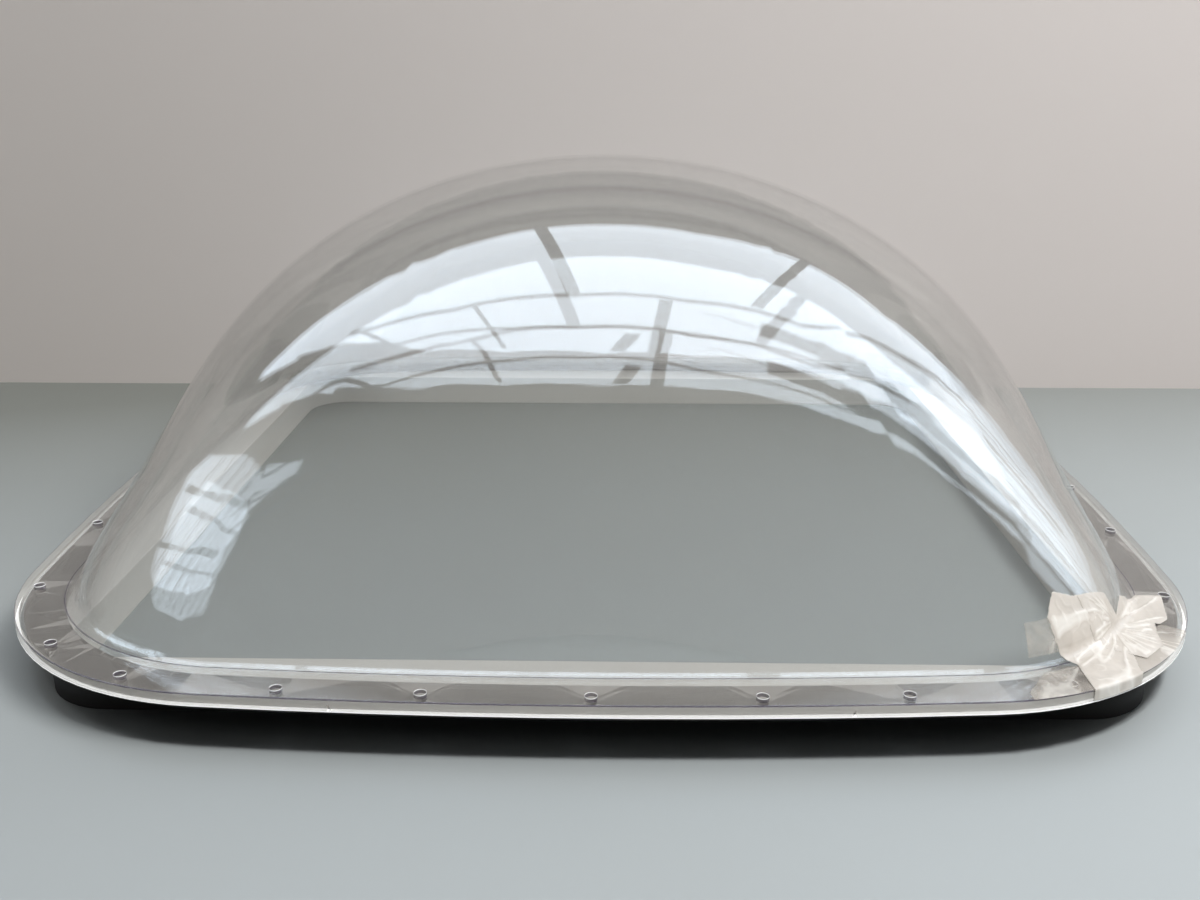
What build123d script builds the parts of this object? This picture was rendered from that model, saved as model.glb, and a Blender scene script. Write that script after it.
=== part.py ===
from build123d import *

import os
from math import atan2, cos, degrees, radians, sin, sqrt

# A double-skin roof dome on its low kerb frame, standing on the frame's foot.
# Z is up and the origin is at the middle of the opening, level with the foot.
# All sizes are in millimetres.

os.makedirs("parts", exist_ok=True)

# Kerb frame. The rim reaches past its opening by the side overhang, and at the corners
# by the corner overhang
side_overhang = 100.0
corner_overhang = 36.0
kerb_height = 44.5
kerb_wall = 18.0
ledge_thickness = 6.0
ledge_setback = 8.0
ledge_root_radius = 5.0
kerb_edge_radius = 1.5

# Rim of the dome unit, a square with bowed sides and wide corners
rim_width = 1200.0
side_bow_radius = 4500.0
rim_corner_radius = 270.0
rim_strip_width = 45.5
rim_edge_radius = 1.2
crease_step = 0.3

# Sheets and seal, from the kerb up
seal_thickness = 5.5
inner_sheet = 3.0
outer_sheet = 4.0
lip_depth = 12.0
lip_clearance = 1.0

# Blown outer dome
outer_cove_radius = 12.0
outer_rise = 395.0
outer_crown_sheet = 3.0
outer_cut_angle = 82.0
outer_squareness = 9.5

# Blown inner dome, nested inside the outer one
nesting_gap = 9.0
crown_gap = 34.0
inner_cove_radius = 12.0
inner_crown_sheet = 2.5
inner_cut_angle = 76.0
inner_squareness = 6.0

# Lofting steps
foot_overlap = 1.5
cove_steps = 5
dome_steps = 10
crown_angle = 1.5
least_squareness = 0.001

# Fixing holes, the same on opposite sides, and the vent slots in the lip
hole_diameter = 11.0
hole_inset = 17.0
front_hole_places = [0.0, 144.0, 268.0, 410.0]
side_hole_places = [60.0, 202.0, 374.0]
vent_place = 219.0
vent_width = 2.5
vent_height = 6.0

# Tape over the front right corner. Each strip has its layer, its lowest and highest level in
# tape widths from the rim's top, and its corners in plan, in tape widths inwards from the
# right and front sides of the rim
tape_thickness = 0.4
tape_clearance = 0.25
tape_width = 60.0
tape_strips = {
    "tape_flange_film": (0, 0, 0.01, [
        (3.85, -0.3), (3.85, 0.48), (3.47, 1.03), (2.92, 1.27), (1.67, 2.0), (1.13, 2.67),
        (0.82, 2.42), (-0.3, 2.42), (-0.3, -0.3),
    ]),
    "tape_wall_film": (0, 0.1, 0.55, [
        (3.68, 1.67), (3.33, 1.87), (3.22, 1.65), (2.97, 1.53), (2.97, 1.17), (3.6, 1.17),
    ]),
    "tape_rim_strip": (1, -0.17, 0.9, [
        (3.27, 1.72), (3.12, 2.05), (2.77, 2.17), (2.08, 2.63), (1.88, 2.57), (1.8, 2.3),
        (2.03, 1.22), (2.1, -0.3), (2.93, -0.3), (2.9, 1.3), (3.17, 1.55),
    ]),
    "tape_side_strip": (2, 0, 0.9, [
        (2.67, 2.23), (2.08, 2.67), (1.88, 2.57), (1.67, 3.02), (1.1, 3.68), (0.68, 3.68),
        (0.98, 2.78), (1.15, 2.65), (1.58, 2.67), (1.83, 2.2), (2.42, 1.87),
    ]),
}

# Heights that follow
seal_top = kerb_height + seal_thickness
inner_flange_top = seal_top + inner_sheet
rim_top = inner_flange_top + outer_sheet
lip_bottom = rim_top - lip_depth
inner_rise = rim_top + outer_rise - outer_crown_sheet - crown_gap - inner_flange_top

# The rim's arcs: a side arc is centred on an axis, a corner arc on a diagonal
rim_half = rim_width / 2
side_centre = rim_half - side_bow_radius
arc_gap = side_bow_radius - rim_corner_radius
corner_centre = (side_centre + sqrt(2 * arc_gap**2 - side_centre**2)) / 2
rim_reach = corner_centre * sqrt(2) + rim_corner_radius

# The kerb's opening, rounded so that its corners follow the rim's
clear_opening = rim_width - 2 * side_overhang
opening_diagonal = clear_opening / sqrt(2)
opening_corner_radius = (opening_diagonal - rim_reach + corner_overhang) / (sqrt(2) - 1)


def bowed_square(height, half, reach, side_radius):
    """A square face with bowed sides, from its half width, diagonal reach and side arc."""
    side = half - side_radius
    corner_radius = (side_radius**2 - side**2 - reach**2 + sqrt(2) * side * reach) / (
        2 * side_radius - 2 * reach + sqrt(2) * side
    )
    corner = (reach - corner_radius) / sqrt(2)
    swing = degrees(atan2(corner, corner - side))
    with BuildSketch(Plane.XY.offset(height)) as outline:
        with BuildLine():
            for turn in (0, 90, 180, 270):
                side_point = Vector(side, 0).rotate(Axis.Z, turn)
                corner_point = Vector(corner, corner).rotate(Axis.Z, turn)
                CenterArc(side_point, side_radius, turn - swing, 2 * swing)
                CenterArc(corner_point, corner_radius, turn + swing, 90 - 2 * swing)
        make_face()
    return outline.sketch


def rim_outline(height, inset):
    """The rim's outline, moved inwards by an inset."""
    return bowed_square(height, rim_half - inset, rim_reach - inset, side_bow_radius - inset)


def rim_line(place, inset):
    """How far the moved outline is from a middle line, at a place along a side."""
    side_arc = side_bow_radius - inset
    if place * arc_gap < corner_centre * side_arc:
        return side_centre + sqrt(side_arc**2 - place**2)
    return corner_centre + sqrt((rim_corner_radius - inset) ** 2 - (place - corner_centre) ** 2)


class Skin:
    """One surface of a blown sheet: a small crease, a cove, then the dome.

    A depth is measured into the sheet, so 0 gives its outside and a negative
    depth gives the surface of something laid on it.
    """

    def __init__(self, flange_top, start, cove_radius, rise, cut_angle, squareness):
        self.flange_top = flange_top
        self.start = start
        self.cove_radius = cove_radius
        self.cut = radians(cut_angle)
        self.squareness = squareness
        self.crown = flange_top + rise
        # The cove ends where its slope is that of the cut ellipse
        half = rim_half - start - cove_radius
        run = half * cos(self.cut) / sin(self.cut)
        climb = rise * sin(self.cut) / (1 - cos(self.cut))
        self.wall = atan2(climb, run)

    def cove_point(self, angle, depth):
        """Inset and height of a point on the cove."""
        radius = self.cove_radius + depth
        cove_middle = self.flange_top + crease_step + self.cove_radius
        return self.start + radius * sin(angle), cove_middle - radius * cos(angle)

    def cove(self, depth):
        """Sections from just under the flat flange, up the crease and the cove."""
        points = [(self.start + min(depth, 0), self.flange_top - depth - foot_overlap)]
        points += [self.cove_point(self.wall * step / cove_steps, depth) for step in range(cove_steps + 1)]
        return [rim_outline(height, inset) for inset, height in points]

    def dome(self, depth, crown_depth):
        """Sections up the dome, which turn from a bowed square into a circle."""
        inset, base = self.cove_point(self.wall, depth)
        half = rim_half - inset
        reach = rim_reach - inset
        rise = self.crown - crown_depth - base
        sections = []
        for step in range(dome_steps + 1):
            angle = self.cut + (radians(crown_angle) - self.cut) * step / dome_steps
            share = sin(angle) / sin(self.cut)
            lift = (cos(angle) - cos(self.cut)) / (1 - cos(self.cut))
            square = max(share**self.squareness, least_squareness)
            curve = (1 - square) / (share * half) + square / (side_bow_radius - inset)
            section_reach = share * (half + square * (reach - half))
            sections.append(bowed_square(base + rise * lift, share * half, section_reach, 1 / curve))
        return sections


outer_skin = Skin(
    rim_top, rim_strip_width, outer_cove_radius, outer_rise, outer_cut_angle, outer_squareness
)
inner_skin = Skin(
    inner_flange_top,
    rim_strip_width + nesting_gap,
    inner_cove_radius,
    inner_rise,
    inner_cut_angle,
    inner_squareness,
)

# The same fixing pattern runs through every layer of the rim
corner_hole = (rim_reach - hole_inset) / sqrt(2)
quarter_holes = [(place, rim_line(place, hole_inset)) for place in front_hole_places]
quarter_holes.append((corner_hole, corner_hole))
quarter_holes += [(rim_line(place, hole_inset), place) for place in side_hole_places]
fixing_holes = [
    (x * side, y * end)
    for x, y in quarter_holes
    for side in ((1, -1) if x else (1,))
    for end in (1, -1)
]


def blown_form(skin, depth, crown_depth):
    """The solid under one surface of a blown sheet, from just under its flange to its crown."""
    with BuildPart() as form:
        loft(skin.cove(depth), ruled=True)
        loft(skin.dome(depth, crown_depth))
    return form.part


def wrapped_form(growth):
    """The dome unit's outside, grown evenly, with its rim down to the lip's lower edge."""
    with BuildPart() as form:
        extrude(rim_outline(lip_bottom, -growth), amount=lip_depth + growth)
        add(blown_form(outer_skin, -growth, -growth))
    return form.part


def hole_places(height):
    """Every fixing hole's place at one height."""
    return Locations(*[(x, y, height) for x, y in fixing_holes])


# Kerb frame: an upright wall round the opening, with a ledge at its top that carries the rim
with BuildPart() as kerb_frame:
    with BuildSketch():
        RectangleRounded(
            clear_opening + 2 * kerb_wall,
            clear_opening + 2 * kerb_wall,
            opening_corner_radius + kerb_wall,
        )
    extrude(amount=kerb_height)
    extrude(rim_outline(kerb_height - ledge_thickness, ledge_setback), amount=ledge_thickness)
    ledge_underside = kerb_frame.faces().filter_by(Plane.XY).sort_by(Axis.Z)[1]
    fillet(ledge_underside.inner_wires()[0].edges(), radius=ledge_root_radius)
    with BuildSketch():
        RectangleRounded(clear_opening, clear_opening, opening_corner_radius)
    extrude(amount=kerb_height, mode=Mode.SUBTRACT)
    kerb_top = kerb_frame.faces().sort_by(Axis.Z)[-1]
    fillet(kerb_top.edges(), radius=kerb_edge_radius)
    with hole_places(kerb_height):
        Hole(radius=hole_diameter / 2, depth=ledge_thickness)

kerb_frame.part.label = "kerb_frame"
export_step(kerb_frame.part, "parts/kerb_frame.step")

# Flange seal: a flat foam strip on the ledge, from the ledge's edge to the foot of the cove
with BuildPart() as flange_seal:
    extrude(rim_outline(kerb_height, ledge_setback), amount=seal_thickness)
    extrude(rim_outline(kerb_height, rim_strip_width), amount=seal_thickness, mode=Mode.SUBTRACT)
    with hole_places(seal_top):
        Hole(radius=hole_diameter / 2, depth=seal_thickness)

flange_seal.part.label = "flange_seal"
export_step(flange_seal.part, "parts/flange_seal.step")

# Inner dome: a flat flange on the seal and a blown skin, thinner at the crown
with BuildPart() as inner_dome:
    extrude(rim_outline(seal_top, outer_sheet + lip_clearance), amount=inner_sheet)
    add(blown_form(inner_skin, 0, 0))
    add(blown_form(inner_skin, inner_sheet, inner_crown_sheet), mode=Mode.SUBTRACT)
    with hole_places(inner_flange_top):
        Hole(radius=hole_diameter / 2, depth=inner_sheet)

inner_dome.part.label = "inner_dome"
export_step(inner_dome.part, "parts/inner_dome.step")

# Outer dome: the flange turned down in a lip round its edge, and the larger blown skin
with BuildPart() as outer_dome:
    extrude(rim_outline(lip_bottom, 0), amount=lip_depth)
    fillet(outer_dome.edges().group_by(Axis.Z)[-1], radius=rim_edge_radius)
    extrude(
        rim_outline(lip_bottom, outer_sheet), amount=lip_depth - outer_sheet, mode=Mode.SUBTRACT
    )
    add(blown_form(outer_skin, 0, 0))
    add(blown_form(outer_skin, outer_sheet, outer_crown_sheet), mode=Mode.SUBTRACT)
    with hole_places(rim_top):
        Hole(radius=hole_diameter / 2, depth=outer_sheet)
    vent_middle = lip_bottom + (lip_depth - outer_sheet) / 2
    vent_line = rim_line(vent_place, outer_sheet / 2)
    with Locations(
        *[(x, y, vent_middle) for x in (-vent_place, vent_place) for y in (-vent_line, vent_line)]
    ):
        Box(vent_width, 2 * outer_sheet, vent_height, mode=Mode.SUBTRACT)

outer_dome.part.label = "outer_dome"
export_step(outer_dome.part, "parts/outer_dome.step")

# Tape over the front right corner: each strip is a thin layer on the dome unit's outside,
# cut to its plan shape between two heights, and each new layer lies on the one before
for name, (layer, low, high, corners) in tape_strips.items():
    near = tape_clearance + layer * (tape_thickness + tape_clearance)
    with BuildPart() as strip:
        add(wrapped_form(near + tape_thickness))
        with BuildSketch(Plane.XY.offset(rim_top + low * tape_width)):
            with BuildLine():
                Polyline(
                    *[(rim_half - x * tape_width, y * tape_width - rim_half) for x, y in corners],
                    close=True,
                )
            make_face()
        extrude(amount=(high - low) * tape_width, mode=Mode.INTERSECT)
        add(wrapped_form(near), mode=Mode.SUBTRACT)
    strip.part.label = name
    export_step(strip.part, f"parts/{name}.step")
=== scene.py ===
from math import atan2, cos, pi, radians, sin, sqrt

import bpy
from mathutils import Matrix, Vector, noise


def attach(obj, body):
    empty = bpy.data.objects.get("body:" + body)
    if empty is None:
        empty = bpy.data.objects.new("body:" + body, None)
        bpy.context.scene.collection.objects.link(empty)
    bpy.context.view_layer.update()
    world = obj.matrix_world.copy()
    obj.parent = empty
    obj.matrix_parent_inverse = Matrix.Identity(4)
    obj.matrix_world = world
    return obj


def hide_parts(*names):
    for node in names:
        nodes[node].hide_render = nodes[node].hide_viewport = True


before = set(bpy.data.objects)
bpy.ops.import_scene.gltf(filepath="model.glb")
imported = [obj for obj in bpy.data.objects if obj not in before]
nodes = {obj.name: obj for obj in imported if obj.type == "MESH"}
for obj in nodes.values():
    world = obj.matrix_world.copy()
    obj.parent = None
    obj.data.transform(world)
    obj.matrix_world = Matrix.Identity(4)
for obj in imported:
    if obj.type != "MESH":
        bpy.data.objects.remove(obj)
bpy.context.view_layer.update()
scene = bpy.context.scene
scene.view_settings.view_transform = "Standard"
# Sight and light pass through many clear sheets on their way through both domes
scene.cycles.transparent_max_bounces = 24


# Small helpers for materials

class Tree:
    """A new material's node tree with short calls for its nodes."""

    def __init__(self, name):
        self.material = bpy.data.materials.new(name)
        self.material.use_nodes = True
        self.tree = self.material.node_tree
        self.tree.nodes.clear()

    def node(self, kind, **settings):
        made = self.tree.nodes.new(kind)
        for name, value in settings.items():
            setattr(made, name, value)
        return made

    def set(self, socket, value):
        if isinstance(value, bpy.types.NodeSocket):
            self.tree.links.new(value, socket)
        elif isinstance(value, tuple) and len(value) == 3 and socket.type == "RGBA":
            socket.default_value = (*value, 1.0)
        else:
            socket.default_value = value

    def math(self, operation, a, b=0.5, clamp=False):
        made = self.node("ShaderNodeMath", operation=operation, use_clamp=clamp)
        self.set(made.inputs[0], a)
        self.set(made.inputs[1], b)
        return made.outputs[0]

    def times(self, a, b):
        return self.math("MULTIPLY", a, b)

    def above(self, value, limit):
        return self.math("GREATER_THAN", value, limit)

    def below(self, value, limit):
        return self.math("LESS_THAN", value, limit)

    def near(self, value, middle, reach):
        return self.below(self.math("ABSOLUTE", self.math("SUBTRACT", value, middle)), reach)

    def length(self, vector):
        made = self.node("ShaderNodeVectorMath", operation="LENGTH")
        self.set(made.inputs[0], vector)
        return made.outputs["Value"]

    def place(self):
        return self.node("ShaderNodeTexCoord").outputs["Object"]

    def axes(self, vector=None):
        """The parts X, Y and Z of a vector, or else of the point's place."""
        made = self.node("ShaderNodeSeparateXYZ")
        self.set(made.inputs[0], self.place() if vector is None else vector)
        return made.outputs

    def true_normal(self):
        return self.node("ShaderNodeNewGeometry").outputs["True Normal"]

    def noise(self, scale, detail=2.0, roughness=0.5):
        made = self.node("ShaderNodeTexNoise")
        self.set(made.inputs["Scale"], scale)
        self.set(made.inputs["Detail"], detail)
        self.set(made.inputs["Roughness"], roughness)
        self.set(made.inputs["Vector"], self.place())
        return made.outputs["Fac"]

    def ramp(self, fac, low, high, start, end):
        """A value that goes from low to high while fac goes from start to end."""
        made = self.node("ShaderNodeMapRange")
        self.set(made.inputs["Value"], fac)
        self.set(made.inputs["From Min"], start)
        self.set(made.inputs["From Max"], end)
        self.set(made.inputs["To Min"], low)
        self.set(made.inputs["To Max"], high)
        return made.outputs["Result"]

    def mix(self, fac, a, b, kind="RGBA"):
        """A mix of two colours, or of two vectors or numbers where its kind says so."""
        first, result = {"FLOAT": (2, 0), "VECTOR": (4, 1), "RGBA": (6, 2)}[kind]
        made = self.node("ShaderNodeMix", data_type=kind)
        self.set(made.inputs[0], fac)
        self.set(made.inputs[first], a)
        self.set(made.inputs[first + 1], b)
        return made.outputs[result]

    def bump(self, height, strength, distance):
        made = self.node("ShaderNodeBump")
        self.set(made.inputs["Strength"], strength)
        self.set(made.inputs["Distance"], distance)
        self.set(made.inputs["Height"], height)
        return made.outputs["Normal"]

    def shader(self, kind, **inputs):
        made = self.node(kind)
        for name, value in inputs.items():
            self.set(made.inputs[name.replace("_", " ")], value)
        return made.outputs[0]

    def blend(self, fac, a, b):
        """A mix of two shaders."""
        made = self.node("ShaderNodeMixShader")
        self.set(made.inputs[0], fac)
        self.set(made.inputs[1], a)
        self.set(made.inputs[2], b)
        return made.outputs[0]

    def finish(self, surface):
        out = self.node("ShaderNodeOutputMaterial")
        self.tree.links.new(surface, out.inputs["Surface"])
        return self.material


def linear(red, green, blue):
    """A colour given in display values of 0 to 255."""
    return tuple(
        v / 255 / 12.92 if v <= 10 else ((v / 255 + 0.055) / 1.055) ** 2.4 for v in (red, green, blue))


def paint(obj, material):
    obj.data.materials.clear()
    obj.data.materials.append(material)


# The rim's outline, in metres: side arcs centred on the axes and corner arcs on the diagonals
RIM_HALF = 0.6
SIDE_ARC = 4.5
CORNER_ARC = 0.27
SIDE_CENTRE = RIM_HALF - SIDE_ARC
CORNER_CENTRE = (SIDE_CENTRE + sqrt(2 * (SIDE_ARC - CORNER_ARC) ** 2 - SIDE_CENTRE**2)) / 2
RIM_REACH = CORNER_CENTRE * sqrt(2) + CORNER_ARC

# The dome unit's levels and the sizes of its flange, cove and dome
RIM_TOP = 0.057
LIP_BOTTOM = 0.045
LIP_HEIGHT = RIM_TOP - LIP_BOTTOM
STRIP_WIDTH = 0.0455
COVE_RADIUS = 0.012
CREASE = 0.0003
DOME_RISE = 0.395
CUT = radians(82)
SQUARENESS = 9.5
COVE_HALF = RIM_HALF - STRIP_WIDTH - COVE_RADIUS
WALL_SLOPE = atan2(DOME_RISE * sin(CUT) / (1 - cos(CUT)), COVE_HALF * cos(CUT) / sin(CUT))
DOME_RUN = 0.56

# Where the acrylic's edges are, for its material: heights, and distances inwards from the rim
FLANGE_LEVEL = 0.0585
LIP_SHEET = 0.0043
LIP_EDGE_TOP = 0.0463
UPPER_EDGE = 0.0559, 0.05698
HOLE_LINE = 0.017
HOLE_REACH = 0.0062
HOLE_WALL_TOP = 0.058
HOLE_EDGE = 0.0562
CREASE_REACH = 0.0007
CREASE_LEVEL = 0.0565


def rim_inset(t, place):
    """How far a point of a material is inwards from the rim's outline."""
    across = t.math("ABSOLUTE", place["X"])
    along = t.math("ABSOLUTE", place["Y"])
    far = t.math("MAXIMUM", across, along)
    near = t.math("MINIMUM", across, along)

    def distance(a, b):
        flat = t.node("ShaderNodeCombineXYZ")
        t.set(flat.inputs[0], a)
        t.set(flat.inputs[1], b)
        return t.length(flat.outputs[0])

    out = t.math("SUBTRACT", far, SIDE_CENTRE)
    side = t.math("SUBTRACT", SIDE_ARC, distance(out, near))
    corner = t.math("SUBTRACT", CORNER_ARC, distance(
        t.math("SUBTRACT", far, CORNER_CENTRE), t.math("SUBTRACT", near, CORNER_CENTRE)))
    slope = CORNER_CENTRE / (CORNER_CENTRE - SIDE_CENTRE)
    at_corner = t.above(t.math("DIVIDE", near, out), slope)
    return t.mix(at_corner, side, corner, "FLOAT")


def paint_edge_glow_and_shade(t, sheet, place, upright):
    """Painted edge lines: a painted glow, white with emission, on the lip's cut lower edge and the holes' upper
    edges, painted shade in dark violet on the lip's rounded upper edge, the crease and the hole walls, and a
    milky haze on the lip.
    """
    height = place["Z"]
    inset = rim_inset(t, place)
    on_lip = t.below(inset, LIP_SHEET)
    lip = t.times(t.below(height, UPPER_EDGE[0]), on_lip)
    lower_edge = t.below(height, LIP_EDGE_TOP)
    upper_edge = t.times(t.above(height, UPPER_EDGE[0]), t.below(height, UPPER_EDGE[1]))
    upper_edge = t.times(upper_edge, on_lip)
    hole = t.times(t.times(t.near(inset, HOLE_LINE, HOLE_REACH), upright), t.below(height, HOLE_WALL_TOP))
    hole_edge = t.times(hole, t.above(height, HOLE_EDGE))
    crease = t.times(t.near(inset, STRIP_WIDTH, CREASE_REACH), t.above(height, CREASE_LEVEL))
    milk = t.shader("ShaderNodeBsdfDiffuse", Color=linear(222, 218, 212))
    # Painted shade: dark violet lines on the lip's upper edge, the crease and the hole walls
    painted_shade_violet = t.shader("ShaderNodeBsdfPrincipled", Base_Color=linear(92, 84, 104), Roughness=0.15)
    # Painted highlight: a glowing white line on the lip's lower edge and round the holes' tops
    painted_glow_white = t.shader("ShaderNodeBsdfPrincipled", Base_Color=linear(245, 245, 243), Roughness=0.3,
        Emission_Color=(1.0, 1.0, 1.0), Emission_Strength=0.55)
    for mask, cover, finish in (
        (lip, 0.45, milk),
        (upper_edge, 0.75, painted_shade_violet),
        (crease, 0.6, painted_shade_violet),
        (hole, 0.6, painted_shade_violet),
        (t.math("MAXIMUM", lower_edge, hole_edge), 0.85, painted_glow_white),
    ):
        sheet = t.blend(t.times(mask, cover), sheet, finish)
    return sheet


def acrylic(name, tint, haze, shine, painted_edges):
    """Clear acrylic, seen through with its own reflections and a trace of dust, and where asked a painted glow
    and painted shade on its edges.
    """
    t = Tree(name)
    place = t.axes()
    steepness = t.math("ABSOLUTE", t.axes(t.true_normal())["Z"])
    # Flat faces below the domes reflect as flat, and the rest as smooth
    level = t.times(t.above(steepness, 0.9995), t.below(place["Z"], FLANGE_LEVEL))
    smooth = t.node("ShaderNodeNewGeometry").outputs["Normal"]
    normal = t.mix(level, smooth, t.true_normal(), "VECTOR")
    facing = t.node("ShaderNodeLayerWeight")
    facing.inputs["Blend"].default_value = 0.5
    t.set(facing.inputs["Normal"], normal)
    grazing = t.math("POWER", facing.outputs["Facing"], 5.0)
    mirror = t.math("ADD", t.times(grazing, 0.9), shine, clamp=True)
    dust = t.ramp(t.noise(5.0, 4.0, 0.6), 0.5, 1.6, 0.3, 0.75)
    clear = t.shader("ShaderNodeBsdfTransparent", Color=tint)
    dusty = t.shader("ShaderNodeBsdfDiffuse", Color=linear(225, 222, 216))
    gloss = t.shader("ShaderNodeBsdfGlossy", Color=(1.0, 1.0, 1.0), Roughness=0.03, Normal=normal)
    sheet = t.blend(t.times(dust, haze), clear, dusty)
    sheet = t.blend(mirror, sheet, gloss)
    if painted_edges:
        sheet = paint_edge_glow_and_shade(t, sheet, place, t.below(steepness, 0.3))
    return t.finish(sheet)


paint(nodes["outer_dome"], acrylic("outer_acrylic", (0.964, 0.967, 0.966), 0.01, 0.045, True))
paint(nodes["inner_dome"], acrylic("inner_acrylic", (0.981, 0.984, 0.983), 0.012, 0.055, False))

# Foam seal: fine closed cells and slow shade changes
t = Tree("seal_foam")
cells = t.noise(900.0, 3.0, 0.6)
patches = t.noise(7.0, 3.0)
foam = t.mix(t.ramp(patches, 0, 1, 0.35, 0.65), linear(180, 174, 169), linear(188, 182, 177))
foam = t.mix(t.ramp(cells, 0, 0.35, 0.5, 0.8), foam, linear(160, 154, 149))
foam = t.shader("ShaderNodeBsdfPrincipled", Base_Color=foam, Roughness=0.85, Normal=t.bump(cells, 0.3, 0.0006))
paint(nodes["flange_seal"], t.finish(foam))

# Kerb frame: pale satin plastic with faint mould flow, and painted shade: its outside and
# underside are near black, standing for the shade under the rim
t = Tree("kerb_plastic")
flow = t.ramp(t.noise(3.0, 4.0), 0, 1, 0.35, 0.7)
grain = t.noise(700.0, 2.0)
pale = t.mix(flow, linear(240, 237, 232), linear(231, 227, 221))
# Painted shade: near black on the outside and underside, where the rim overhangs
painted_shade_dark = t.mix(flow, linear(22, 22, 23), linear(34, 33, 32))
place = t.axes()
normal = t.axes(t.true_normal())
outwards = t.math("ADD", t.times(place["X"], normal["X"]), t.times(place["Y"], normal["Y"]))
outside = t.math("MAXIMUM", t.above(outwards, 0.02), t.below(normal["Z"], -0.4))
plastic = t.shader("ShaderNodeBsdfPrincipled", Base_Color=t.mix(outside, pale, painted_shade_dark),
    Roughness=t.ramp(outside, 0.42, 0.8, 0, 1), Normal=t.bump(grain, 0.12, 0.0004))
paint(nodes["kerb_frame"], t.finish(plastic))


# Tape: crumpled strips over the corner, each a sheet laid on the dome unit's outside

def outline_radius(turn, half, reach, side_arc):
    """Distance from the middle to a bowed square's outline, in one direction."""
    side = half - side_arc
    corner_arc = (side_arc**2 - side**2 - reach**2 + sqrt(2) * side * reach) / (
        2 * side_arc - 2 * reach + sqrt(2) * side)
    corner = (reach - corner_arc) / sqrt(2)
    turn = turn % (pi / 2)
    turn = min(turn, pi / 2 - turn)
    radius = side * cos(turn) + sqrt((side * cos(turn)) ** 2 - side**2 + side_arc**2)
    if radius * sin(turn) <= (radius * cos(turn) - side) * corner / (corner - side):
        return radius
    middle = corner * (cos(turn) + sin(turn))
    return middle + sqrt(middle**2 - 2 * corner**2 + corner_arc**2)


def skin_line(run):
    """The outside's outline and height at a run up from the lip's lower edge.

    It gives the outline's half width, its reach along the diagonal, its side arc and z.
    """
    if run < LIP_HEIGHT:
        return RIM_HALF, RIM_REACH, SIDE_ARC, LIP_BOTTOM + run
    run -= LIP_HEIGHT
    if run < STRIP_WIDTH:
        return RIM_HALF - run, RIM_REACH - run, SIDE_ARC - run, RIM_TOP
    run -= STRIP_WIDTH
    turn = min(run / COVE_RADIUS, WALL_SLOPE)
    inset = STRIP_WIDTH + COVE_RADIUS * sin(turn)
    height = RIM_TOP + CREASE + COVE_RADIUS * (1 - cos(turn))
    half, reach, arc = RIM_HALF - inset, RIM_REACH - inset, SIDE_ARC - inset
    if run < COVE_RADIUS * WALL_SLOPE:
        return half, reach, arc, height
    run -= COVE_RADIUS * WALL_SLOPE
    rise = RIM_TOP + DOME_RISE - height
    turn = CUT - run / DOME_RUN
    share = sin(turn) / sin(CUT)
    lift = (cos(turn) - cos(CUT)) / (1 - cos(CUT))
    square = share**SQUARENESS
    curve = (1 - square) / (share * half) + square / arc
    return share * half, share * (half + square * (reach - half)), 1 / curve, height + rise * lift


def sides(corners):
    """The sides of a closed shape, each as its two ends."""
    return zip(corners, corners[1:] + corners[:1])


def inside(x, y, corners):
    """Whether a plan point is inside a closed shape."""
    found = False
    for (x0, y0), (x1, y1) in sides(corners):
        if (y0 > y) != (y1 > y) and x < x0 + (y - y0) / (y1 - y0) * (x1 - x0):
            found = not found
    return found


def edge_distance(x, y, corners):
    """How far a plan point is from a closed shape's outline."""
    nearest = 1.0
    for (x0, y0), (x1, y1) in sides(corners):
        dx, dy = x1 - x0, y1 - y0
        share = min(max(((x - x0) * dx + (y - y0) * dy) / (dx * dx + dy * dy), 0.0), 1.0)
        nearest = min(nearest, sqrt((x0 + share * dx - x) ** 2 + (y0 + share * dy - y) ** 2))
    return nearest


# Each strip's lift over the skin, loft of its folds, lowest and highest level in tape widths
# from the rim's top, slot, and corners in tape widths inwards from the rim's right and front
TAPE_WIDTH = 0.06
TAPE_SHAPES = {
    "tape_flange_film": (0.0003, 0.0006, 0, 0.01, "clear_tape", [
        (3.85, -0.3), (3.85, 0.48), (3.47, 1.03), (2.92, 1.27), (1.67, 2.0), (1.13, 2.67),
        (0.82, 2.42), (-0.3, 2.42), (-0.3, -0.3),
    ]),
    "tape_wall_film": (0.0003, 0.001, 0.1, 0.55, "clear_tape", [
        (3.68, 1.67), (3.33, 1.87), (3.22, 1.65), (2.97, 1.53), (2.97, 1.17), (3.6, 1.17),
    ]),
    "tape_rim_strip": (0.0008, 0.0014, -0.17, 0.9, "tape", [
        (3.27, 1.72), (3.12, 2.05), (2.77, 2.17), (2.08, 2.63), (1.88, 2.57), (1.8, 2.3),
        (2.03, 1.22), (2.1, -0.3), (2.93, -0.3), (2.9, 1.3), (3.17, 1.55),
    ]),
    "tape_side_strip": (0.0011, 0.0015, 0, 0.9, "tape", [
        (2.67, 2.23), (2.08, 2.67), (1.88, 2.57), (1.67, 3.02), (1.1, 3.68), (0.68, 3.68),
        (0.94, 2.8), (1.14, 2.62), (1.2, 2.66), (1.31, 2.31), (1.38, 1.92), (1.8, 1.5), (2.42, 1.87),
    ]),
}
# The strips' mesh: its cell, its sheet, its first and last direction, the rim's distance there,
# and how far it can run up from the lip
TAPE_CELL = 0.001
TAPE_SHEET = 0.00012
TAPE_FIRST = radians(-64)
TAPE_LAST = radians(-26)
TAPE_REACH = 0.68
TAPE_RUN = 0.13
# Where the folds meet, and how far in from its edges the tape lies flat
FOLD_PLACE = 0.483, -0.453
FOLD_FREE_EDGE = 0.005
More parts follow.
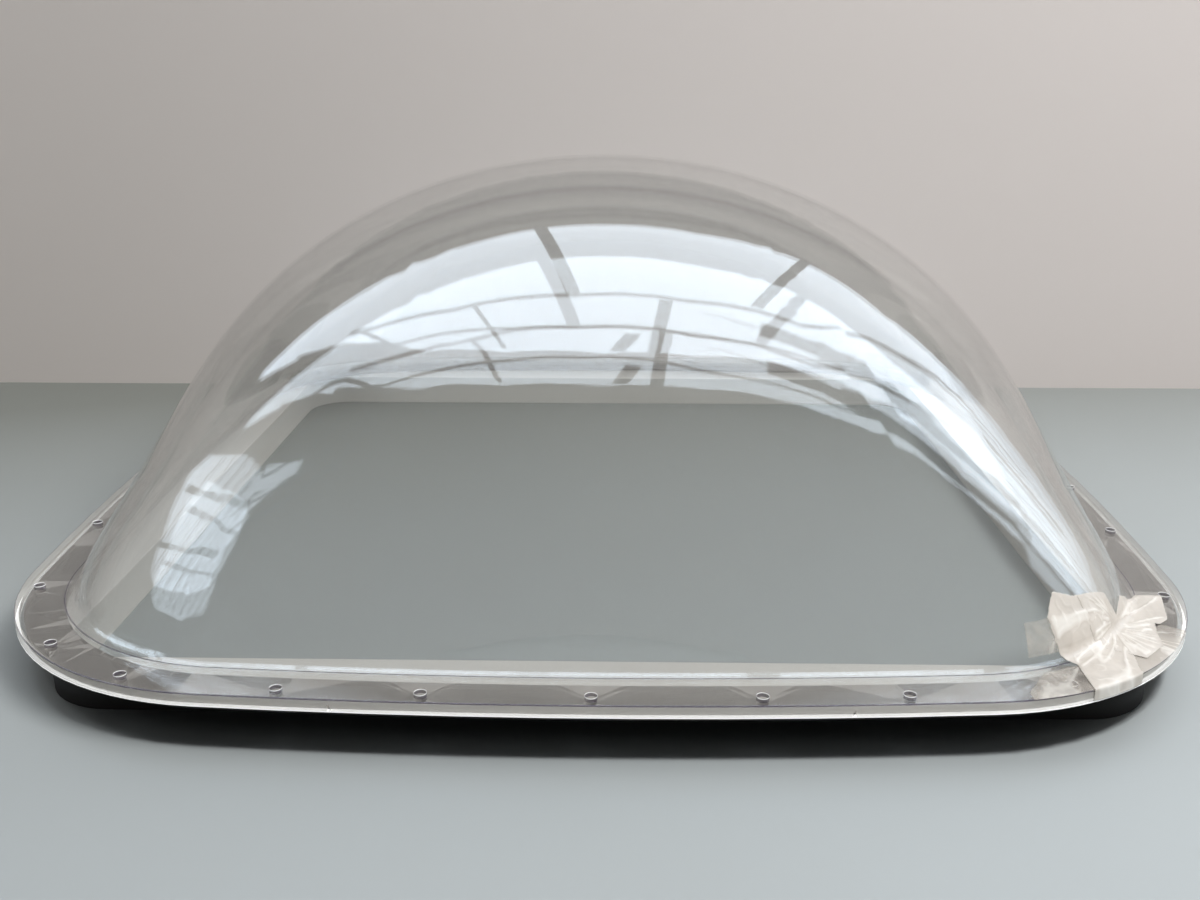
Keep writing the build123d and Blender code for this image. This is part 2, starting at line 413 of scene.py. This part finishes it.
# The tape's folds stand outwards on the lip, upwards on the flange, and lean out on the wall.
# Each turn has the run where it starts and the run that it takes
TURN_UP = 0.010, 0.004
TURN_OUT = 0.0575, 0.015
WALL_TURN = radians(62)


def crumple(x, y, z, seed):
    """How far a point of the tape stands up, from 0 to 1.

    Folds fan out from one place, and finer creases lie between them.
    """
    across, along = x - FOLD_PLACE[0], y - FOLD_PLACE[1]
    reach = sqrt(across**2 + along**2)
    turn = atan2(along, across)
    fan = noise.noise(Vector((cos(turn) * 5.5 + seed, sin(turn) * 5.5, reach * 14)))
    crease = noise.noise(Vector((x * 95 + 7, y * 60 + seed, z * 80)))
    return 0.7 * (1 - abs(fan)) ** 7 * min(reach / 0.02, 1.0) + 0.3 * (1 - abs(crease)) ** 6


def tape_strip(name, lift, loft, low, high, corners, seed):
    plan = [(RIM_HALF - a * TAPE_WIDTH, b * TAPE_WIDTH - RIM_HALF) for a, b in corners]
    columns = int((TAPE_LAST - TAPE_FIRST) * TAPE_REACH / TAPE_CELL)
    rows = int(TAPE_RUN / TAPE_CELL)
    places, folds, used, faces = [], [], {}, []

    def skin_point(row, column):
        half, reach, arc, z = skin_line(row * TAPE_CELL)
        turn = TAPE_FIRST + (TAPE_LAST - TAPE_FIRST) * column / columns
        radius = outline_radius(turn, half, reach, arc)
        return radius * cos(turn), radius * sin(turn), z, turn

    def vertex(row, column):
        key = row, column
        if key not in used:
            used[key] = len(places)
            x, y, z, turn = skin_point(row, column)
            fold = crumple(x, y, z, seed) * min(edge_distance(x, y, plan) / FOLD_FREE_EDGE, 1.0)
            folds.append(fold)
            stand = lift + loft * fold
            run = row * TAPE_CELL
            tilt = min(max((run - TURN_UP[0]) / TURN_UP[1], 0.0), 1.0) * pi / 2
            tilt -= min(max((run - TURN_OUT[0]) / TURN_OUT[1], 0.0), 1.0) * WALL_TURN
            out = stand * cos(tilt)
            places.append((x + out * cos(turn), y + out * sin(turn), z + stand * sin(tilt)))
        return used[key]

    for row in range(rows):
        z = skin_line((row + 0.5) * TAPE_CELL)[3]
        if not RIM_TOP + low * TAPE_WIDTH <= z <= RIM_TOP + high * TAPE_WIDTH:
            continue
        for column in range(columns):
            x, y = skin_point(row + 0.5, column + 0.5)[:2]
            if inside(x, y, plan):
                faces.append([vertex(row, column), vertex(row, column + 1),
                    vertex(row + 1, column + 1), vertex(row + 1, column)])
    mesh = bpy.data.meshes.new(name + "_crumpled")
    mesh.from_pydata(places, [], faces)
    mesh.polygons.foreach_set("use_smooth", [True] * len(faces))
    mesh.attributes.new("fold", "FLOAT", "POINT").data.foreach_set("value", folds)
    obj = bpy.data.objects.new(name + "_crumpled", mesh)
    scene.collection.objects.link(obj)
    obj.modifiers.new("thickness", "SOLIDIFY").thickness = TAPE_SHEET
    return obj


def tape_finish(name, covers):
    """Cream tape that covers more or less, with a painted highlight: paler ridges along its folds."""
    t = Tree(name + "_finish")
    fibre = t.noise(1400.0, 2.0)
    shade = t.noise(45.0, 3.0)
    fold = t.node("ShaderNodeAttribute", attribute_name="fold").outputs["Fac"]
    cream = t.mix(t.ramp(shade, 0, 1, 0.35, 0.7), linear(229, 222, 213), linear(219, 211, 201))
    # Painted highlight: the ridges of the folds are paler
    cream = t.mix(t.ramp(fold, 0, 1, 0.3, 0.75), cream, linear(242, 238, 231))
    body = t.shader("ShaderNodeBsdfPrincipled", Base_Color=cream, Roughness=0.38,
        Normal=t.bump(fibre, 0.15, 0.0003))
    clear = t.shader("ShaderNodeBsdfTransparent", Color=(0.985, 0.98, 0.97))
    cover = t.ramp(t.noise(60.0, 3.0), *covers, 0.35, 0.65)
    if name == "tape_flange_film":
        # Layers of film lie over each other beside the opaque strip
        place = t.axes()
        along = t.math("ADD", place["X"], place["Y"])
        layered = t.times(t.ramp(place["X"], 0, 1, 0.462, 0.468), t.ramp(along, 1, 0.4, 0.04, 0.08))
        cover = t.math("MAXIMUM", cover, t.times(layered, 0.6))
    cover = t.math("ADD", cover, t.ramp(fold, 0, 0.25, 0.3, 0.7), clamp=True)
    return t.finish(t.blend(cover, clear, body))


for number, (name, (lift, loft, low, high, slot_name, corners)) in enumerate(TAPE_SHAPES.items()):
    strip = tape_strip(name, lift, loft, low, high, corners, number * 5.3)
    paint(strip, tape_finish(name, (0.84, 0.95) if slot_name == "tape" else (0.1, 0.3)))
    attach(strip, "root")
    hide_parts(name)


# Stage: floor, a wall close behind that only shows from its front, and soft studio light
BACKGROUND = 206, 202, 198
STAGE_REACH = 8
WALL_LINE = 0.615
WALL_HEIGHT = 1.5
# Above this height, reflections see past the wall
OPEN_HEIGHT = 0.75


def stage_piece(name, corners, faces, material, only_seen_by=None):
    """A piece of the stage. It may show to one kind of ray only, and a shadow is one."""
    mesh = bpy.data.meshes.new(name)
    mesh.from_pydata(corners, [], faces)
    obj = bpy.data.objects.new(name, mesh)
    scene.collection.objects.link(obj)
    paint(obj, material)
    if only_seen_by:
        for kind in ("camera", "diffuse", "glossy", "transmission", "volume_scatter", "shadow"):
            setattr(obj, "visible_" + kind, kind == only_seen_by)
    return obj


t = Tree("floor_finish")
place = t.axes()
# Painted shade: the floor gets darker towards the wall and to the left
backwards = t.math("SUBTRACT", place["Y"], t.times(place["X"], 0.3))
painted_shade_to_wall = t.math("POWER", t.ramp(backwards, 0, 1, -0.93, 0.735), 1.5, clamp=True)
floor_colour = t.mix(painted_shade_to_wall, linear(180, 186, 187), linear(128, 130, 123))
floor_colour = t.mix(t.ramp(t.noise(2.5, 4.0), 0, 0.06, 0.35, 0.7), floor_colour, linear(150, 150, 140))
floor_paint = t.shader("ShaderNodeBsdfPrincipled", Base_Color=floor_colour, Roughness=0.6)
# Far out, the floor that the camera sees goes over to the pale background
far = t.times(t.ramp(t.length(t.place()), 0, 1, 1.6, 3.4), t.node("ShaderNodeLightPath").outputs["Is Camera Ray"])
far_paint = t.shader("ShaderNodeEmission", Color=linear(*BACKGROUND), Strength=1.0)
stage_piece("floor", [(x * STAGE_REACH, y * STAGE_REACH, 0) for x, y in ((-1, -1), (1, -1), (1, 1), (-1, 1))],
    [(0, 1, 2, 3)], t.finish(t.blend(far, floor_paint, far_paint)))

t = Tree("wall_finish")
place = t.axes()
# Painted light: the wall gets lighter towards the right, and a faint glow adds to its brightness
plaster_and_painted_light = t.mix(t.ramp(place["X"], 0, 1, -0.9, 1.2), linear(214, 207, 202), linear(222, 214, 210))
wall_paint_and_glow = t.shader("ShaderNodeBsdfPrincipled", Base_Color=plaster_and_painted_light, Roughness=0.9,
    Emission_Color=linear(226, 218, 214), Emission_Strength=0.05)
# The wall is clear from behind, and its upper part also to reflections, as in a room with
# windows there
behind = t.node("ShaderNodeNewGeometry").outputs["Backfacing"]
high = t.times(t.node("ShaderNodeLightPath").outputs["Is Glossy Ray"], t.above(place["Z"], OPEN_HEIGHT))
open_part = t.math("MAXIMUM", behind, high)
wall = stage_piece("backdrop",
    [(x * STAGE_REACH, WALL_LINE, z) for x, z in ((-1, 0), (1, 0), (1, WALL_HEIGHT), (-1, WALL_HEIGHT))],
    [(0, 1, 2, 3)], t.finish(t.blend(open_part, wall_paint_and_glow, t.shader("ShaderNodeBsdfTransparent"))))
wall.visible_shadow = False

# A ring under the rim that only casts a shadow keeps the floor there dark, up to the kerb
RING_PARTS = 144
RING_HEIGHT = 0.012
RING_INSET = 0.006
# Its inner outline runs inside the kerb's wall, with nearly straight sides
KERB_HALF = 0.509
KERB_REACH = 0.693
STRAIGHT = 1000.0
ring_places = []
for number in range(RING_PARTS):
    turn = 2 * pi * number / RING_PARTS
    for radius in (
        outline_radius(turn, RIM_HALF - RING_INSET, RIM_REACH - RING_INSET, SIDE_ARC),
        outline_radius(turn, KERB_HALF, KERB_REACH, STRAIGHT),
    ):
        ring_places.append((radius * cos(turn), radius * sin(turn), RING_HEIGHT))
count = len(ring_places)
t = Tree("shadow_ring_finish")
stage_piece("shadow_ring", ring_places,
    [(i, (i + 2) % count, (i + 3) % count, i + 1) for i in range(0, count, 2)],
    t.finish(t.shader("ShaderNodeBsdfDiffuse", Color=(0.0, 0.0, 0.0))), "shadow")


def soft_box(name, place, target, width, height, glow):
    """A soft light that doesn't show in reflections."""
    light = bpy.data.lights.new(name, "AREA")
    light.shape = "RECTANGLE"
    light.size = width
    light.size_y = height
    light.energy = pi * glow * width * height
    obj = bpy.data.objects.new(name, light)
    obj.location = place
    obj.rotation_euler = (Vector(target) - Vector(place)).to_track_quat("-Z", "Y").to_euler()
    obj.visible_glossy = False
    scene.collection.objects.link(obj)


soft_box("overhead_light", (0.3, -0.4, 3.2), (0.3, -0.4, 0), 4.0, 2.0, 1.0)
soft_box("right_light", (1.9, -1.6, 2.9), (0, 0, 0), 1.4, 1.4, 17.0)
soft_box("left_light", (-3.0, -0.3, 1.7), (0, 0, 0), 1.2, 1.0, 3.5)

# Cards overhead and at the sides are the bright bands on the domes, and grey bars hang in front
# of them. They only show in reflections
BAR_GLOW = 0.25
CEILING = 3.2
CEILING_BARS = 3.17
RIGHT_CARD = 5.5
RIGHT_BARS = 5.46
LOW_CARD = 0.605
LEFT_CARD = -4
LEFT_BARS = -3.96


def reflector(name, first_edge, second_edge, glow):
    """A bright or grey card between two edges that only shows in reflections."""
    count = len(first_edge)
    t = Tree(name + "_finish")
    stage_piece(name, [*first_edge, *second_edge],
        [(i, i + 1, count + i + 1, count + i) for i in range(count - 1)],
        t.finish(t.shader("ShaderNodeEmission", Color=(0.79, 0.89, 1.0), Strength=glow)), "glossy")


def beams(name, across, lines):
    """Grey bars in front of a card. Each line has two ends and a width along the given direction."""
    for number, (start, end, width) in enumerate(lines):
        shift = Vector(across) * width / 2
        reflector(f"{name}_{number}", [Vector(start) - shift, Vector(end) - shift],
            [Vector(start) + shift, Vector(end) + shift], BAR_GLOW)


front_edge = [(-5.1, 3.1), (-3.2, 1.3), (-1.9, -0.1), (-1, -0.58), (0, -0.75), (0.94, -0.62), (2.1, -0.15),
    (3.7, 0.55), (5.5, 1.15)]
back_edge = [(-5.1, 3.3), (-3.4, 2.45), (-2.2, 2.06), (-1.2, 1.94), (0, 1.91), (0.9, 1.98), (2.1, 2.45),
    (3.7, 2.9), (5.5, 4.3)]
reflector("ceiling_card", [(x, y, CEILING) for x, y in front_edge], [(x, y, CEILING) for x, y in back_edge], 4.4)

# Long beams as runs of points, each with the width of the bar that starts there
beam_runs = [
    [(-3.9, 2.0, 0.1), (-3.2, 1.25, 0.08), (-1.55, 0.44, 0.07), (-0.28, 0.24, 0.06), (0.8, 0.29, 0.07),
        (2.07, 0.66, 0.09), (3.67, 2.0, 0.12), (5.5, 3.6, 0)],
    [(-3.6, 1.35, 0.06), (-2.18, 0.26, 0.05), (-0.9, -0.2, 0.04), (-0.2, -0.32, 0.04), (0.96, -0.28, 0.04),
        (2.2, 0.1, 0.05), (3.7, 0.8, 0.05), (5.5, 1.6, 0)],
    [(1.0, 0.14, 0.02), (1.6, 0.2, 0.24), (2.3, 0.36, 0.34), (3.1, 0.62, 0.4), (3.9, 0.9, 0.3), (5.5, 1.6, 0)],
]
beams("ceiling_beam", (0, 1, 0), [
    ((a[0], a[1], CEILING_BARS), (b[0], b[1], CEILING_BARS), a[2])
    for run in beam_runs for a, b in zip(run, run[1:])])
cross_bars = [
    ((-0.64, 1.95), (-0.28, 0.24), 0.13), ((2.2, 2.5), (1.54, 0.58), 0.13), ((0.6, 0.24), (0.52, -0.7), 0.13),
    ((0.3, -0.4), (0.15, -0.7), 0.16), ((-1.3, 0.4), (-1.0, -0.5), 0.05), ((-2.7, 1.0), (-2.1, 0.0), 0.06),
]
beams("ceiling_bar", (1, 0, 0), [
    ((*start, CEILING_BARS), (*end, CEILING_BARS), width) for start, end, width in cross_bars])

right_edge = [(0.5, 0.9), (1.7, 0.95), (3.0, 1.3), (3.9, 1.7), (4.3, 2.5)]
reflector("right_card", [(RIGHT_CARD, y, z) for y, z in right_edge],
    [(RIGHT_CARD, y, CEILING) for y, z in right_edge], 3.0)
low_edge = [(1.37, 0.75), (1.42, 0.6), (1.58, 0.52), (1.95, 0.49), (3.0, 0.52), (5.4, 0.7)]
reflector("low_right_card", [(x, LOW_CARD, z) for x, z in low_edge],
    [(x, LOW_CARD, OPEN_HEIGHT + 0.02) for x, z in low_edge], 2.0)
right_bars = [(3.6, 2.5, 1.1, 0.08), (2.9, 2.0, 1.0, 0.2), (2.1, 1.5, 0.9, 0.06), (1.4, 1.1, 0.9, 0.25)]
beams("right_bar", (0, 1, 0), [
    ((RIGHT_BARS, top, CEILING), (RIGHT_BARS, foot, z), width) for top, foot, z, width in right_bars])

# The left card's edges: y, lower z and upper z
left_edges = [(1.5, 2.05, 2.35), (0.5, 2.1, 3.3), (-0.35, 1.95, 3.9), (-0.9, 2.1, 4.25), (-1.5, 2.4, 4.2),
    (-2.2, 2.8, 3.9), (-2.9, 3.5, 3.6)]
reflector("left_card", [(LEFT_CARD, y, low) for y, low, high in left_edges],
    [(LEFT_CARD, y, high) for y, low, high in left_edges], 3.2)
beams("left_bar", (0, 1, 0), [
    ((LEFT_BARS, 1.3 - 0.33 * i, 3.0 + 0.33 * i), (LEFT_BARS, -0.1 - 0.36 * i, 1.7 + 0.2 * i), 0.07)
    for i in range(8)])
beams("left_rail", (0, 0, 1), [
    ((LEFT_BARS, 1.2, 2.15), (LEFT_BARS, -1.2, 4.1), 0.1), ((LEFT_BARS, 0.4, 1.95), (LEFT_BARS, -1.9, 3.7), 0.1)])

# The background: at full strength to the camera, dimmer in reflections, and almost dark as a light
WORLD_LIGHT = 0.012
WORLD_REFLECTED = 0.42
world = bpy.data.worlds.new("soft_world")
world.use_nodes = True
sky = world.node_tree
background = sky.nodes["Background"]
background.inputs["Color"].default_value = (*linear(*BACKGROUND), 1)
rays = sky.nodes.new("ShaderNodeLightPath")
reflected = sky.nodes.new("ShaderNodeMath")
reflected.operation = "MULTIPLY_ADD"
reflected.inputs[1].default_value = WORLD_REFLECTED
reflected.inputs[2].default_value = WORLD_LIGHT
strength = sky.nodes.new("ShaderNodeMath")
strength.operation = "MAXIMUM"
sky.links.new(rays.outputs["Is Glossy Ray"], reflected.inputs[0])
sky.links.new(rays.outputs["Is Camera Ray"], strength.inputs[0])
sky.links.new(reflected.outputs[0], strength.inputs[1])
sky.links.new(strength.outputs[0], background.inputs["Strength"])
scene.world = world

# Camera at the photograph's viewing angle
SENSOR_WIDTH = 36
FOCAL_SHARE = 1190 / 1200
CAMERA_DOWN = 0.3194
CAMERA_TURN = 0.0201
camera_data = bpy.data.cameras.new("photo_camera")
camera_data.sensor_width = SENSOR_WIDTH
camera_data.lens = SENSOR_WIDTH * FOCAL_SHARE
camera = bpy.data.objects.new("photo_camera", camera_data)
camera.location = (0.0253, -1.4647, 0.5652)
camera.rotation_euler = (pi / 2 - CAMERA_DOWN, 0.0, CAMERA_TURN)
scene.collection.objects.link(camera)
scene.camera = camera
